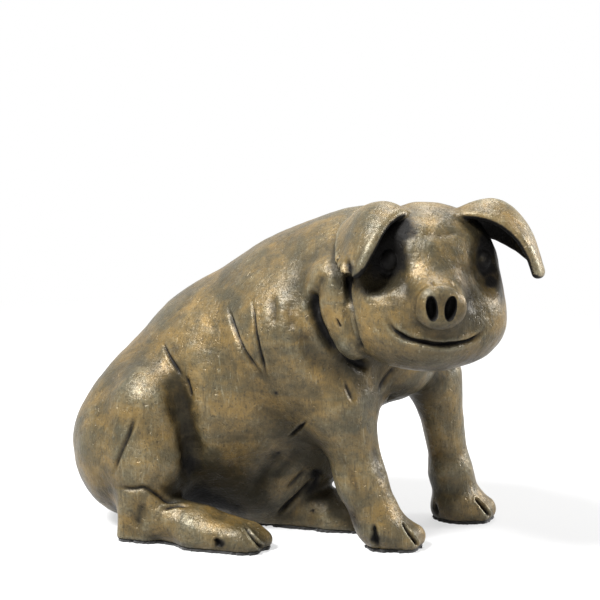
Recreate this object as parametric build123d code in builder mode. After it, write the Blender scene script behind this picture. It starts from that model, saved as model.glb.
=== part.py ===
"""A seated pig figurine in bronze.

The pig sits on its rump with both forelegs straight and its head turned to its right.
It is cast in sections that meet at the natural creases of the body: a hollow torso, a hollow
head, four legs, two ears and a tail, each pinned to its neighbour. Black felt lies under
every part that touches the table.

Frame: the origin is on the table at the middle of the seat, -Y is the way the body faces,
+X is the pig's left and +Z is up. Lengths are in millimetres.
"""

import os
from math import cos, radians, sin

from build123d import *

# Torso: ovals strung along a spine that rises from the rump to the neck
torso_length = 146.0
torso_width = 66.0
torso_girth = 81.0
torso_slope = 35.0
rump_back = 31.0
rump_rise = 10.0
torso_wall = 3.5

# Along the spine, aside, above the spine, half-width, reach up and reach down
torso_shares = [
    (0.004, 0.00, 0.020, 0.10, 0.06, 0.09),
    (0.022, 0.00, 0.020, 0.21, 0.12, 0.18),
    (0.055, 0.00, 0.015, 0.33, 0.21, 0.26),
    (0.103, 0.00, 0.000, 0.42, 0.32, 0.35),
    (0.171, 0.01, -0.010, 0.47, 0.405, 0.415),
    (0.260, 0.02, -0.025, 0.495, 0.47, 0.465),
    (0.370, 0.04, -0.035, 0.50, 0.505, 0.47),
    (0.500, 0.055, -0.035, 0.495, 0.52, 0.41),
    (0.630, 0.065, 0.000, 0.475, 0.475, 0.36),
    (0.740, 0.065, 0.025, 0.465, 0.42, 0.375),
    (0.842, 0.03, 0.045, 0.40, 0.345, 0.305),
    (0.918, 0.00, 0.050, 0.32, 0.26, 0.24),
    (0.967, -0.01, 0.045, 0.22, 0.165, 0.16),
    (0.990, -0.01, 0.045, 0.11, 0.085, 0.08),
]

# Fold of the neck that the turned head pushes up behind its cheek
neck_fold_breadth = 19.0
neck_fold_x = -21.0
neck_fold_y = -63.0
neck_fold_z = 88.0
neck_fold_reach = 22.0
neck_fold_lean = 24.0

# Share of the way down, then the half-width and the half-depth there
neck_fold_shares = [
    (-0.38, 0.14, 0.14),
    (-0.28, 0.32, 0.32),
    (-0.08, 0.45, 0.45),
    (0.35, 0.48, 0.48),
    (0.85, 0.44, 0.44),
    (1.18, 0.32, 0.32),
    (1.30, 0.15, 0.15),
]

# Opening in the underside that the casting core came out of
core_hole_length = 34.0
core_hole_width = 20.0

# Plugs in the holes that the core pins left in the torso's wall
plug_radius = 2.5
plug_along_shares = (0.46, 0.66)
plug_lean = 40.0

# Felt pads, as deep as the gap that the castings leave above the table
felt_thickness = 1.0

# Forelegs: level ovals from the shoulder to the hoof
foreleg_height = 84.0
foreleg_breadth = 36.0
right_hoof_x = -9.0
right_hoof_y = -75.0
right_hoof_turn = 18.0
left_hoof_x = 31.5
left_hoof_y = -84.0
left_hoof_turn = 28.0

# Height, aside, backwards, half-width, reach back and reach forward
right_foreleg_shares = [
    (1.00, -0.048, 0.369, 0.17, 0.17, 0.17),
    (0.95, -0.048, 0.357, 0.34, 0.34, 0.34),
    (0.83, -0.048, 0.335, 0.485, 0.485, 0.46),
    (0.69, -0.048, 0.280, 0.425, 0.45, 0.41),
    (0.545, -0.042, 0.208, 0.32, 0.35, 0.32),
    (0.40, -0.036, 0.143, 0.245, 0.26, 0.25),
    (0.26, -0.024, 0.089, 0.205, 0.222, 0.222),
    (0.145, -0.012, 0.036, 0.215, 0.23, 0.265),
    (0.073, -0.004, 0.012, 0.235, 0.23, 0.335),
    (0.00, 0.00, 0.00, 0.255, 0.23, 0.39),
]
left_foreleg_shares = [
    (1.00, -0.089, 0.262, 0.12, 0.12, 0.12),
    (0.95, -0.089, 0.256, 0.25, 0.25, 0.25),
    (0.83, -0.080, 0.244, 0.39, 0.39, 0.385),
    (0.69, -0.042, 0.173, 0.30, 0.32, 0.305),
    (0.545, -0.014, 0.110, 0.26, 0.265, 0.25),
    (0.40, -0.006, 0.083, 0.20, 0.20, 0.20),
    (0.26, -0.002, 0.054, 0.18, 0.183, 0.183),
    (0.145, 0.00, 0.030, 0.195, 0.20, 0.222),
    (0.073, 0.00, 0.012, 0.225, 0.22, 0.305),
    (0.00, 0.00, 0.00, 0.24, 0.24, 0.36),
]

# Clefts between the toes of each hoof
cleft_width = 1.6
cleft_length = 10.0
cleft_rise = 10.0

# The hind legs are set in from the flanks, so they follow the torso's width
flank = torso_width / 2

# Haunches: domes on the flanks that clear the felt by a gap
haunch_length = 51.0
haunch_thickness = 40.0
haunch_height = 52.0
haunch_gap = 1.0
haunch_back = 7.5
haunch_inset = 14.0

# Out from the middle of the dome, then the share of its length and height there
haunch_shares = [
    (-0.40, 0.94),
    (0.10, 1.00),
    (0.45, 0.92),
    (0.72, 0.73),
    (0.89, 0.50),
    (0.97, 0.28),
    (1.00, 0.12),
]

# Hind feet: upright ovals from the heel to the toe
hind_foot_length = 54.0
hind_foot_width = 17.0
hind_foot_height = 22.0
right_heel_inset = 1.0
right_heel_y = 10.0
left_heel_inset = 30.0
left_heel_y = -14.0
ankle_rise = 6.0

# Along the foot, aside, half-width, reach up and reach down from the ankle line
hind_foot_shares = [
    (0.00, 0.00, 0.30, 0.34, 0.20),
    (0.05, 0.00, 0.44, 0.52, 0.30),
    (0.20, -0.03, 0.49, 0.56, 0.36),
    (0.38, 0.00, 0.46, 0.38, 0.34),
    (0.56, 0.06, 0.46, 0.25, 0.34),
    (0.76, 0.12, 0.47, 0.19, 0.32),
    (0.90, 0.17, 0.43, 0.11, 0.32),
    (1.00, 0.20, 0.29, 0.03, 0.28),
]

# Shanks: from the knee down to the hock, on the folded hind legs
shank_breadth = 26.0
knee_rise = 40.0
hock_rise = 12.0
hock_setback = 9.0
right_knee_inset = 5.0
right_knee_y = -1.0
left_knee_inset = 8.0
left_knee_y = -21.0
left_hock_inset = 14.0

# Share of the way down, then the half-width and the half-depth there
shank_shares = [
    (-0.42, 0.12, 0.14),
    (-0.34, 0.27, 0.31),
    (-0.16, 0.40, 0.46),
    (0.12, 0.45, 0.52),
    (0.50, 0.40, 0.45),
    (1.00, 0.30, 0.35),
]

# Head: ovals strung from the nape to the face
head_length = 46.0
head_width = 46.5
head_height = 50.0
head_x = -14.5
head_y = -90.5
head_z = 84.5
head_turn = -60.0
head_wall = 3.5

# From the nape, above the middle, half-width, reach up and reach down
head_shares = [
    (0.00, 0.06, 0.18, 0.18, 0.16),
    (0.06, 0.04, 0.30, 0.33, 0.25),
    (0.217, 0.02, 0.42, 0.48, 0.36),
    (0.437, -0.02, 0.505, 0.57, 0.41),
    (0.65, -0.06, 0.50, 0.545, 0.40),
    (0.822, -0.09, 0.40, 0.40, 0.35),
    (0.924, -0.12, 0.30, 0.27, 0.25),
    (1.00, -0.16, 0.17, 0.14, 0.12),
]
nape_share = 0.478

# Snout: a short muzzle that ends in a flat disc with two nostrils
snout_length = 16.0
snout_width = 15.4
snout_height = 12.6
snout_root = 14.5
snout_rise = 0.5

# Along the snout, half-width and half-height
snout_shares = [
    (0.00, 0.80, 0.88),
    (0.25, 0.68, 0.74),
    (0.50, 0.57, 0.60),
    (0.72, 0.475, 0.48),
    (0.86, 0.505, 0.505),
    (1.00, 0.47, 0.47),
]
nostril_width = 3.2
nostril_height = 6.6
nostril_depth = 3.0
nostril_spacing = 5.4
nostril_lean = 8.0

# Mouth: a shallow curved groove across the jaw
mouth_width = 29.0
mouth_sag = 5.0
mouth_gap = 1.5
mouth_groove = 1.4
mouth_drop = 7.0

# Eyes: hollows on either side of the forehead
eye_hollow_radius = 4.0
eye_spacing = 34.0
eye_rise = 12.0
eye_forward = 12.3

# Ears: curved leaves, each from a net of four by four points in shares of the ears' span
ear_span = 52.0
ear_thickness = 2.2
right_ear_shares = [
    [(-0.14, -0.05, 0.46), (-0.15, 0.00, 0.48), (-0.18, 0.09, 0.46), (-0.22, 0.20, 0.38)],
    [(-0.26, -0.16, 0.55), (-0.34, -0.09, 0.67), (-0.43, 0.10, 0.63), (-0.46, 0.27, 0.46)],
    [(-0.33, -0.28, 0.33), (-0.42, -0.20, 0.44), (-0.51, 0.00, 0.44), (-0.53, 0.17, 0.33)],
    [(-0.40, -0.28, 0.20), (-0.44, -0.26, 0.14), (-0.48, -0.20, 0.14), (-0.52, -0.09, 0.20)],
]
left_ear_shares = [
    [(0.24, 0.20, 0.34), (0.21, 0.08, 0.48), (0.17, -0.01, 0.52), (0.14, -0.07, 0.47)],
    [(0.45, 0.23, 0.36), (0.45, 0.10, 0.66), (0.40, -0.05, 0.72), (0.36, -0.17, 0.53)],
    [(0.56, 0.16, 0.26), (0.64, 0.07, 0.45), (0.60, -0.10, 0.50), (0.54, -0.20, 0.39)],
    [(0.63, -0.05, 0.16), (0.64, -0.12, 0.16), (0.63, -0.18, 0.15), (0.60, -0.23, 0.16)],
]

# Tail: a curl on the rump
tail_thickness = 5.0
tail_curl = 5.0
tail_sweep = 285.0
tail_lean = 12.0
tail_x = 7.0
tail_y = 34.5
tail_z = 20.0

# Pins that locate the castings on each other
neck_pin_radius = 2.5
neck_pin_length = 18.0
neck_pin_spacing = 12.0
neck_pin_aside = 8.0
neck_pin_inset = 3.5
leg_pin_radius = 2.0
leg_pin_length = 16.0
leg_pin_spacing = 9.0
right_leg_pin_advance = 5.0
left_leg_pin_advance = -2.0
foot_pin_length = 12.0
foot_pin_spacing = 7.0
right_foot_pin_outset = 2.0
right_foot_pin_drop = 1.5
left_foot_pin_setback = 21.0

overrun = 1.0


def oval(plane, side, up, down):
    """A closed section that is widest at the plane's origin."""
    with BuildSketch(plane) as outline:
        with BuildLine():
            EllipticalCenterArc((0, 0), side, up, 0, arc_size=180)
            EllipticalCenterArc((0, 0), side, down, 180, arc_size=180)
        make_face()
    return outline.sketch


spine = Vector(0, -cos(radians(torso_slope)), sin(radians(torso_slope)))
lift = Vector(0, spine.Z, -spine.Y)
rump = Vector(0, rump_back, rump_rise)


def torso_plane(along, aside, above):
    """A plane square to the spine, placed in shares of the torso."""
    at = rump + spine * (along * torso_length) + lift * (above * torso_girth)
    return Plane(origin=at + Vector(aside * torso_width, 0, 0), x_dir=(1, 0, 0), z_dir=spine)


def torso_ovals(shares, wall):
    """The torso's sections, drawn in by a wall."""
    return [
        oval(
            torso_plane(along, aside, above),
            side * torso_width - wall,
            up * torso_girth - wall,
            down * torso_girth - wall,
        )
        for along, aside, above, side, up, down in shares
    ]


def limb_ovals(top, foot, breadth, shares):
    """Sections square to the line from a limb's top to its foot."""
    way = foot - top
    return [
        oval(
            Plane(origin=top + way * share, x_dir=(1, 0, 0), z_dir=way.normalized()),
            side * breadth,
            depth * breadth,
            depth * breadth,
        )
        for share, side, depth in shares
    ]


neck_fold_top = Vector(neck_fold_x, neck_fold_y, neck_fold_z)
neck_fold_way = Vector(0, -sin(radians(neck_fold_lean)), -cos(radians(neck_fold_lean)))
neck_fold_foot = neck_fold_top + neck_fold_way * neck_fold_reach

with BuildPart() as torso_form:
    loft(torso_ovals(torso_shares, 0))
    loft(limb_ovals(neck_fold_top, neck_fold_foot, neck_fold_breadth, neck_fold_shares))
    split(bisect_by=Plane.XY.offset(felt_thickness), keep=Keep.TOP)

with BuildPart() as torso_core:
    loft(torso_ovals(torso_shares[1:-1], torso_wall))
    split(bisect_by=Plane.XY.offset(felt_thickness + torso_wall), keep=Keep.TOP)


def level_plane(x, y, z, turn):
    """A level plane whose own -Y looks the way the toes point."""
    return Plane(origin=(x, y, z), x_dir=(cos(radians(turn)), sin(radians(turn)), 0), z_dir=(0, 0, 1))


def foreleg_ovals(x, y, turn, shares):
    """The level sections of a foreleg from the shoulder to the sole."""
    sections = []
    for height, aside, back, side, rear, front in shares:
        plane = level_plane(
            x + aside * foreleg_height,
            y + back * foreleg_height,
            felt_thickness + height * (foreleg_height - felt_thickness),
            turn * (1 - height),
        )
        sections.append(
            oval(plane, side * foreleg_breadth, rear * foreleg_breadth, front * foreleg_breadth)
        )
    return sections


def cleft(x, y, turn, toe_reach):
    """The slot between the two toes of a hoof, whose toe lies so far in front of a point."""
    with BuildPart() as slot:
        with BuildSketch(level_plane(x, y, 0, turn)):
            with Locations((0, -toe_reach)):
                Rectangle(cleft_width, 2 * cleft_length)
        extrude(amount=cleft_rise)
    return slot.part


def largest(part):
    """The biggest solid of a part, without the slivers that a cut leaves beside it."""
    return part.solids().sort_by(SortBy.VOLUME)[-1]


def foreleg(x, y, turn, shares):
    """A foreleg whose upper end is coped to the torso and whose hoof is split in front."""
    with BuildPart() as leg:
        loft(foreleg_ovals(x, y, turn, shares))
        add(torso_form, mode=Mode.SUBTRACT)
        add(cleft(x, y, turn, shares[-1][-1] * foreleg_breadth), mode=Mode.SUBTRACT)
    return largest(leg.part)


with BuildPart() as foreleg_right:
    add(foreleg(right_hoof_x, right_hoof_y, right_hoof_turn, right_foreleg_shares))

with BuildPart() as foreleg_left:
    add(foreleg(left_hoof_x, left_hoof_y, left_hoof_turn, left_foreleg_shares))


def foot_ovals(heel_x, heel_y):
    """The upright sections of a hind foot from the heel to the toe."""
    sections = []
    for along, aside, side, up, down in hind_foot_shares:
        x = heel_x + aside * hind_foot_width
        y = heel_y - along * hind_foot_length
        plane = Plane(origin=(x, y, ankle_rise), x_dir=(1, 0, 0), z_dir=(0, -1, 0))
        sections.append(
            oval(plane, side * hind_foot_width, up * hind_foot_height, down * hind_foot_height)
        )
    return sections


haunch_rise = felt_thickness + haunch_gap + haunch_height / 2


def haunch_ovals(x, side):
    """The upright sections of a dome that bulges out to one side of its middle."""
    return [
        oval(
            Plane(
                origin=(x + side * out * haunch_thickness / 2, haunch_back, haunch_rise),
                x_dir=(0, side, 0),
                z_dir=(side, 0, 0),
            ),
            spread * haunch_length / 2,
            spread * haunch_height / 2,
            spread * haunch_height / 2,
        )
        for out, spread in haunch_shares
    ]


def haunch(x, side, knee, hock):
    """The dome of a haunch and its shank, as a section that butts against the torso's wall."""
    with BuildPart() as section:
        loft(haunch_ovals(x, side))
        loft(limb_ovals(knee, hock, shank_breadth, shank_shares))
        add(torso_core, mode=Mode.SUBTRACT)
    return largest(section.part)


right_heel_x = right_heel_inset - flank
left_heel_x = flank - left_heel_inset
right_knee = Vector(right_knee_inset - flank, right_knee_y, knee_rise)
right_hock = Vector(right_heel_x, right_heel_y - hock_setback, hock_rise)
left_knee = Vector(flank - left_knee_inset, left_knee_y, knee_rise)
left_hock = Vector(flank - left_hock_inset, left_heel_y, hock_rise)

with BuildPart() as haunch_right:
    add(haunch(haunch_inset - flank, -1, right_knee, right_hock))

with BuildPart() as haunch_left:
    add(haunch(flank - haunch_inset, 1, left_knee, left_hock))


def hind_foot(heel_x, heel_y):
    """A hind foot that lies flat, cut where the shank and the belly meet it."""
    toe_x = heel_x + hind_foot_shares[-1][1] * hind_foot_width
    with BuildPart() as foot:
        loft(foot_ovals(heel_x, heel_y))
        split(bisect_by=Plane.XY.offset(felt_thickness), keep=Keep.TOP)
        for neighbour in (torso_form, haunch_right, haunch_left):
            add(neighbour, mode=Mode.SUBTRACT)
        add(cleft(toe_x, heel_y, 0, hind_foot_length), mode=Mode.SUBTRACT)
    return largest(foot.part)


with BuildPart() as hind_foot_right:
    add(hind_foot(right_heel_x, right_heel_y))

with BuildPart() as hind_foot_left:
    add(hind_foot(left_heel_x, left_heel_y))


head_frame = Plane(
    origin=(head_x, head_y, head_z),
    x_dir=(cos(radians(head_turn)), sin(radians(head_turn)), 0),
    z_dir=(0, 0, 1),
)


def head_plane(back, above):
    """A plane across the head that looks out of the face."""
    at = head_frame.from_local_coords((0, back, above))
    return Plane(origin=at, x_dir=head_frame.x_dir, z_dir=-head_frame.y_dir)


def head_ovals(shares, wall):
    """The head's sections, drawn in by a wall."""
    return [
        oval(
            head_plane((nape_share - along) * head_length + wall, above * head_height),
            side * head_width - wall,
            up * head_height - wall,
            down * head_height - wall,
        )
        for along, above, side, up, down in shares
    ]


def snout_ovals():
    """The snout's sections from the face to the disc."""
    return [
        oval(
            head_plane(-snout_root - along * snout_length, snout_rise),
            side * snout_width,
            height * snout_height,
            height * snout_height,
        )
        for along, side, height in snout_shares
    ]


with BuildPart() as head_form:
    loft(head_ovals(head_shares, 0))
    loft(snout_ovals())

# The mouth's groove follows the jaw's skin to an even depth
with BuildPart() as mouth:
    with BuildSketch(head_plane(-head_length, -mouth_drop)):
        with BuildLine():
            top = ThreePointArc((-mouth_width / 2, 0), (0, -mouth_sag), (mouth_width / 2, 0))
            low = ThreePointArc(
                (-mouth_width / 2, -mouth_gap), (0, -mouth_sag - mouth_gap), (mouth_width / 2, -mouth_gap)
            )
            Line(top @ 0, low @ 0)
            Line(top @ 1, low @ 1)
        make_face()
    extrude(amount=-head_length)
    add(head_form, mode=Mode.INTERSECT)
    loft(head_ovals(head_shares, mouth_groove), mode=Mode.SUBTRACT)

disc_plane = head_plane(-snout_root - snout_length, snout_rise)
eye_places = [
    Location(head_frame.from_local_coords((side * eye_spacing / 2, -eye_forward, eye_rise)))
    for side in (-1, 1)
]

with BuildPart() as head_casting:
    add(head_form)
    loft(head_ovals(head_shares[3:-1], head_wall), mode=Mode.SUBTRACT)
    with BuildSketch(disc_plane):
        for side in (-1, 1):
            with Locations((side * nostril_spacing / 2, 0)):
                Ellipse(nostril_width / 2, nostril_height / 2, rotation=-side * nostril_lean)
    extrude(amount=-nostril_depth, mode=Mode.SUBTRACT)
    with Locations(*eye_places):
        Sphere(eye_hollow_radius, mode=Mode.SUBTRACT)
    for cutter in (mouth, torso_form, foreleg_right, foreleg_left):
        add(cutter, mode=Mode.SUBTRACT)


def ear(shares):
    """A curved leaf of even thickness, rooted in the head."""
    net = [
        [head_frame.from_local_coords(tuple(share * ear_span for share in point)) for point in row]
        for row in shares
    ]
    with BuildPart() as leaf:
        thicken(Face.make_bezier_surface(net), amount=ear_thickness / 2, both=True)
        add(head_form, mode=Mode.SUBTRACT)
        add(torso_form, mode=Mode.SUBTRACT)
    return largest(leaf.part)


with BuildPart() as ear_right:
    add(ear(right_ear_shares))

with BuildPart() as ear_left:
    add(ear(left_ear_shares))

# The curl lies against the rump, with its root let into it
tail_upright = Plane(origin=(tail_x, tail_y, tail_z), x_dir=(-1, 0, 0), z_dir=(0, 1, 0))
tail_plane = tail_upright.rotated((0, tail_lean, 0))
with BuildPart() as tail:
    with BuildLine(tail_plane) as curl:
        CenterArc((0, 0), tail_curl, 0, tail_sweep)
    with BuildSketch(Plane(origin=curl.line @ 0, z_dir=curl.line % 0)):
        Circle(tail_thickness / 2)
    sweep()
    for neighbour in (torso_form, haunch_right, haunch_left):
        add(neighbour, mode=Mode.SUBTRACT)


def pin_pair(middle, way, across, spacing, radius, length):
    """Two pins side by side, that cross from one casting into another."""
    with BuildPart() as pair:
        with BuildSketch(Plane(origin=middle - way * length / 2, x_dir=across, z_dir=way)):
            with GridLocations(spacing, 0, 2, 1):
                Circle(radius)
        extrude(amount=length)
    return pair.part


def foreleg_point(x, y, height, aside, back):
    """A point on the middle line of a foreleg."""
    return Vector(x + aside * foreleg_height, y + back * foreleg_height, height * foreleg_height)


def foreleg_pin_pair(x, y, shares, row, advance):
    """Pins along a foreleg at one of its sections, moved forward by some."""
    upper = foreleg_point(x, y, *shares[row - 1][:3])
    lower = foreleg_point(x, y, *shares[row + 1][:3])
    return pin_pair(
        foreleg_point(x, y, *shares[row][:3]) - Vector(0, advance, 0),
        (upper - lower).normalized(),
        (1, 0, 0),
        leg_pin_spacing,
        leg_pin_radius,
        leg_pin_length,
    )


neck_pin_place = (neck_pin_aside, nape_share * head_length - neck_pin_inset, 0)
with BuildPart() as neck_pins:
    add(
        pin_pair(
            head_frame.from_local_coords(neck_pin_place),
            head_frame.y_dir,
            (0, 0, 1),
            neck_pin_spacing,
            neck_pin_radius,
            neck_pin_length,
        )
    )

with BuildPart() as foreleg_pins:
    add(
        foreleg_pin_pair(right_hoof_x, right_hoof_y, right_foreleg_shares, 4, right_leg_pin_advance)
    )
    add(foreleg_pin_pair(left_hoof_x, left_hoof_y, left_foreleg_shares, 3, left_leg_pin_advance))

# The right foot hangs on its shank, and the left one on the belly's wall
with BuildPart() as foot_pins:
    add(
        pin_pair(
            right_hock - Vector(right_foot_pin_outset, 0, right_foot_pin_drop),
            Vector(0, 0, 1),
            (0, 1, 0),
            foot_pin_spacing,
            leg_pin_radius,
            foot_pin_length,
        )
    )
    add(
        pin_pair(
            Vector(left_heel_x, left_heel_y - left_foot_pin_setback, ankle_rise),
            Vector(0, 1, 0),
            (1, 0, 0),
            foot_pin_spacing,
            leg_pin_radius,
            leg_pin_length,
        )
    )

# Plugs close the holes that the core's pins left, two on each flank, flush with the wall
with BuildPart() as core_plugs:
    for along in plug_along_shares:
        place = torso_plane(along, 0, 0)
        for side in (-1, 1):
            way = place.x_dir * side * cos(radians(plug_lean)) + place.y_dir * sin(radians(plug_lean))
            with BuildSketch(Plane(origin=place.origin, z_dir=way)):
                Circle(plug_radius)
            extrude(amount=torso_width)
    add(torso_form, mode=Mode.INTERSECT)
    add(torso_core, mode=Mode.SUBTRACT)

# Torso: the shell between form and core, open below and where the haunches are let in
with BuildPart() as torso_casting:
    add(torso_form)
    add(torso_core, mode=Mode.SUBTRACT)
    with BuildSketch():
        Ellipse(core_hole_width / 2, core_hole_length / 2)
    extrude(amount=felt_thickness + torso_wall + overrun, mode=Mode.SUBTRACT)
    for cutter in (haunch_right, haunch_left, neck_pins, foreleg_pins, foot_pins, core_plugs):
        add(cutter, mode=Mode.SUBTRACT)


def bored(casting, pins):
    """A casting with the holes for its pins."""
    with BuildPart() as result:
        add(casting)
        add(pins, mode=Mode.SUBTRACT)
    return result


def felt_under(casting):
    """A felt pad under the flat sole of a casting, down to the table."""
    sole = casting.part.faces().filter_by(GeomType.PLANE).sort_by(Axis.Z)[0]
    with BuildPart() as pad:
        extrude(sole, amount=felt_thickness, dir=(0, 0, -1))
    return pad


pieces = {
    "torso": torso_casting,
    "head": bored(head_casting, neck_pins),
    "ear_right": ear_right,
    "ear_left": ear_left,
    "foreleg_right": bored(foreleg_right, foreleg_pins),
    "foreleg_left": bored(foreleg_left, foreleg_pins),
    "haunch_right": bored(haunch_right, foot_pins),
    "haunch_left": haunch_left,
    "hind_foot_right": bored(hind_foot_right, foot_pins),
    "hind_foot_left": bored(hind_foot_left, foot_pins),
    "tail": tail,
    "neck_pins": neck_pins,
    "foreleg_pins": foreleg_pins,
    "foot_pins": foot_pins,
    "core_plugs": core_plugs,
    "felt_seat": felt_under(torso_form),
    "felt_foreleg_right": felt_under(foreleg_right),
    "felt_foreleg_left": felt_under(foreleg_left),
    "felt_hind_right": felt_under(hind_foot_right),
    "felt_hind_left": felt_under(hind_foot_left),
}

os.makedirs("parts", exist_ok=True)
for name, piece in pieces.items():
    piece.part.label = name
    export_step(piece.part, f"parts/{name}.step")
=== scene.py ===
"""A seated bronze pig on felt pads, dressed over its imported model."""

from math import cos, pi, radians, sin

import bpy
import numpy as np
from mathutils import Matrix, Vector


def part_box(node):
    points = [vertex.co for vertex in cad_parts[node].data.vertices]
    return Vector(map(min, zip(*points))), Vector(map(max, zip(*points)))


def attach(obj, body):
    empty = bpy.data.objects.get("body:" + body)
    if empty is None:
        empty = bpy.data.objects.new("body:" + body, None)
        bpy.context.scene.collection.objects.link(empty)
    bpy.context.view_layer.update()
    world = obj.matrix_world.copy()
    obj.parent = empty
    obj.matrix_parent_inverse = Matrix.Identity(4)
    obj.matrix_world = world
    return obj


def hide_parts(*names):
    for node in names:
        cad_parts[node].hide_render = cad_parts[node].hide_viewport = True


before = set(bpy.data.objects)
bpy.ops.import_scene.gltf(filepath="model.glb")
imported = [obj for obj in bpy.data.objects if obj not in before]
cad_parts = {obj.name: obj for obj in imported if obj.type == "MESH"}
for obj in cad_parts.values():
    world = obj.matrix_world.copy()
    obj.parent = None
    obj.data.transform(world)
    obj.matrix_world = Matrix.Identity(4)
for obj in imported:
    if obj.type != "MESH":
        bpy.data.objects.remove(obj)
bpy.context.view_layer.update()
MM = 0.001


# Form: signed distances in millimetres

def turned(yaw=0, pitch=0, roll=0):
    """A turn whose columns are the local axes."""
    cy, sy, cp, sp = cos(radians(yaw)), sin(radians(yaw)), cos(radians(pitch)), sin(radians(pitch))
    cr, sr = cos(radians(roll)), sin(radians(roll))
    about_z = np.array([[cy, -sy, 0], [sy, cy, 0], [0, 0, 1]])
    about_x = np.array([[1, 0, 0], [0, cp, -sp], [0, sp, cp]])
    about_y = np.array([[cr, 0, sr], [0, 1, 0], [-sr, 0, cr]])
    return (about_z @ about_x @ about_y).astype(np.float32)


def ball(P, middle, radii, turn=None):
    q = P - np.float32(middle)
    if turn is not None:
        q = q @ turn
    r = np.float32(radii)
    a = np.sqrt(((q / r) ** 2).sum(-1))
    b = np.sqrt(((q / (r * r)) ** 2).sum(-1)) + np.float32(1e-9)
    return a * (a - 1) / b


def limb(P, a, b, ra, rb):
    a, b = np.float32(a), np.float32(b)
    way = b - a
    q = P - a
    t = np.clip((q @ way) / (way @ way), 0, 1)
    return np.sqrt(((q - t[:, None] * way) ** 2).sum(-1)) - (ra + (rb - ra) * t)


def block(P, middle, half, turn, edge):
    """A box with rounded edges."""
    q = np.abs((P - np.float32(middle)) @ turn) - (np.float32(half) - edge)
    return np.linalg.norm(np.maximum(q, 0), axis=-1) + np.minimum(q.max(-1), 0) - edge


def join(a, b, k):
    h = np.clip(0.5 + 0.5 * (b - a) / k, 0, 1)
    return b + (a - b) * h - k * h * (1 - h)


def cut(a, b, k):
    return -join(-a, b, k)


def ramp(x, low, high):
    t = np.clip((x - low) / (high - low), 0, 1)
    return t * t * (3 - 2 * t)


def close_to(P, shape, reach):
    """Which points lie in the box round a shape, widened by a reach."""
    return np.where(((P > shape.min(0) - reach) & (P < shape.max(0) + reach)).all(-1))[0]


HEAD_AT = np.float32((-14.5, -90.5, 84.5))
HEAD_TURN = turned(yaw=-60, roll=1)
EAR_SPAN = 52.0
RIGHT_EAR = [
    [(-0.14, -0.05, 0.46), (-0.15, 0.00, 0.48), (-0.18, 0.09, 0.46), (-0.22, 0.20, 0.38)],
    [(-0.26, -0.16, 0.55), (-0.34, -0.09, 0.67), (-0.43, 0.10, 0.63), (-0.46, 0.27, 0.46)],
    [(-0.375, -0.27, 0.33), (-0.44, -0.20, 0.44), (-0.51, 0.00, 0.44), (-0.53, 0.17, 0.33)],
    [(-0.425, -0.27, 0.20), (-0.455, -0.25, 0.14), (-0.48, -0.20, 0.14), (-0.52, -0.09, 0.20)],
]
LEFT_EAR = [
    [(0.14, -0.07, 0.47), (0.17, -0.01, 0.52), (0.21, 0.08, 0.48), (0.24, 0.20, 0.34)],
    [(0.36, -0.17, 0.53), (0.40, -0.05, 0.72), (0.45, 0.10, 0.66), (0.45, 0.23, 0.36)],
    [(0.54, -0.20, 0.39), (0.60, -0.10, 0.50), (0.64, 0.07, 0.45), (0.56, 0.16, 0.26)],
    [(0.60, -0.23, 0.16), (0.63, -0.18, 0.15), (0.64, -0.12, 0.16), (0.63, -0.05, 0.20)],
]


def patch(net, u, v):
    """Points of a Bezier patch, u from its root to its tip and v from its front to its back."""
    bu = np.stack([(1 - u) ** 3, 3 * u * (1 - u) ** 2, 3 * u * u * (1 - u), u ** 3], -1)
    bv = np.stack([(1 - v) ** 3, 3 * v * (1 - v) ** 2, 3 * v * v * (1 - v), v ** 3], -1)
    return np.einsum("...i,...j,ijk->...k", bu, bv, np.array(net) * EAR_SPAN)


LEAF, COARSE, SAMPLE_GAP = 56, 7, 0.35
EAR_REACH, FAR_OFF = 8, 9
BATCH = 20000
LEAF_HALF, RIM_SWELL, RIM_WIDTH = 1.05, 0.45, 0.10


def ear_samples(net):
    """Points, normals and half thicknesses over an ear's middle surface."""
    share = np.linspace(0, 1, LEAF)
    u, v = np.meshgrid(share, share, indexing="ij")
    e = 1e-3
    along = patch(net, np.minimum(u + e, 1), v) - patch(net, np.maximum(u - e, 0), v)
    across = patch(net, u, np.minimum(v + e, 1)) - patch(net, u, np.maximum(v - e, 0))
    square = np.cross(along, across)
    square /= np.linalg.norm(square, axis=-1, keepdims=True) + 1e-12
    rim = np.minimum(np.minimum(v, 1 - v) * 1.6, 1 - u)
    half = LEAF_HALF + RIM_SWELL * np.exp(-(rim / RIM_WIDTH) ** 2)
    points, square = patch(net, u, v).reshape(-1, 3), square.reshape(-1, 3)
    return np.float32(points), np.float32(square), np.float32(half.ravel())


EARS = {"ear_right": ear_samples(RIGHT_EAR), "ear_left": ear_samples(LEFT_EAR)}


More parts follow.
